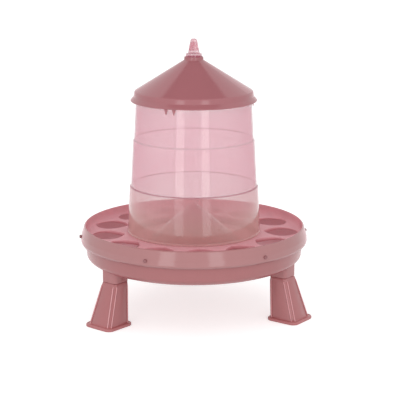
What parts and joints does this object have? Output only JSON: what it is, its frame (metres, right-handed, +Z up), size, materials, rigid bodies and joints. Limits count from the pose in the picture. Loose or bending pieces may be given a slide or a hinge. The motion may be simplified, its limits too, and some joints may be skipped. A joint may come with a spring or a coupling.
{
  "type": "poultry feeder",
  "caption": "Free-standing round poultry feeder: clear tiered hopper under a conical lid, over a feed pan with an anti-waste head-hole grill, on plug-in legs.",
  "frame": {"origin": "centre of the outline on the ground, between the three feet", "axes": "+Z up along the hopper, -Y to the front between the two front legs, +X to the right seen from the front"},
  "size_m": [0.428, 0.4338, 0.5048],
  "materials": {
    "lid_pink": "satin moulded polypropylene, dusky pink, opaque",
    "hopper_clear_pink": "glossy see-through polypropylene, tinted pink",
    "hanger_clear_pink": "glossy milky polypropylene, tinted pink",
    "grill_pink": "satin moulded polypropylene, light dusky pink",
    "pan_pink": "satin moulded polypropylene, dusky pink",
    "cone_pink": "satin moulded polypropylene, dusky pink",
    "leg_pink": "satin moulded polypropylene, dusky pink",
    "peg_pink": "satin moulded polypropylene, dark dusky pink"
  },
  "bodies": {
    "feeder": {"feed_pan": "pan_pink", "spreader_cone": "cone_pink", "anti_waste_grill": "grill_pink", "hopper": "hopper_clear_pink", "hanger": "hanger_clear_pink", "leg_front_left": "leg_pink", "leg_front_right": "leg_pink", "leg_rear": "leg_pink", "locking_peg_1": "peg_pink", "locking_peg_2": "peg_pink", "locking_peg_3": "peg_pink", "locking_peg_4": "peg_pink", "locking_peg_5": "peg_pink", "locking_peg_6": "peg_pink"},
    "lid": {"lid": "lid_pink"}
  },
  "joints": [
    {"name": "lid_lift", "type": "slide", "parent": "feeder", "child": "lid", "axis": [0, 0, 1], "range_m": [0, 0.12]}
  ]
}
